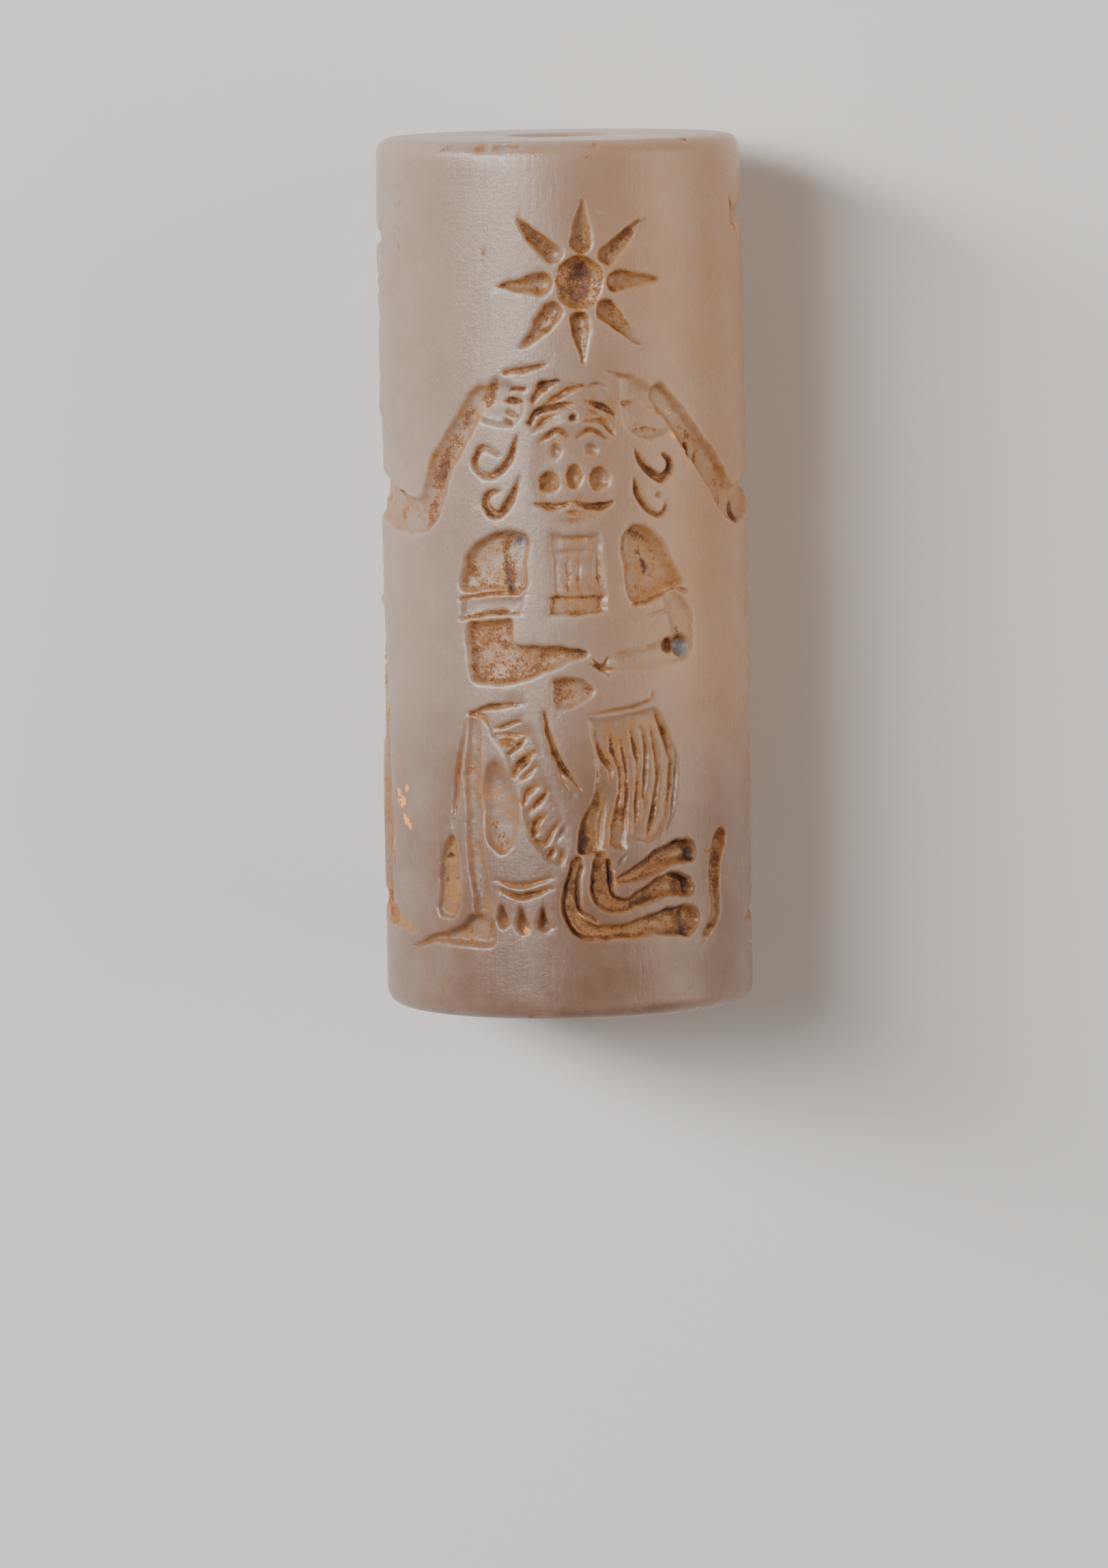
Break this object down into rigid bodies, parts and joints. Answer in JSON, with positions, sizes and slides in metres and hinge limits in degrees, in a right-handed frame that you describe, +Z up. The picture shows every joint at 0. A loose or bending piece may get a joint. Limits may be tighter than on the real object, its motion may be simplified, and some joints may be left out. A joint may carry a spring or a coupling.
{
  "type": "cylinder seal",
  "caption": "Cylinder seal of milky chalcedony, bored lengthwise, with a drilled and wheel-cut frieze of sword-bearing heroes about a kneeling bearded hero under a star.",
  "frame": {"origin": "on the surface it lies on, under the middle of the seal", "axes": "+Y along the bore towards the seal's upper end (the star's end), +Z up through the kneeling hero of the frieze, +X to the right of someone looking down on that hero"},
  "size_m": [0.0128, 0.03, 0.0127],
  "materials": {
    "chalcedony": "milky, translucent, polished and lightly scratched, with ochre residue in the cuts"
  },
  "bodies": {
    "root": {"seal_body": "chalcedony"}
  },
  "joints": []
}
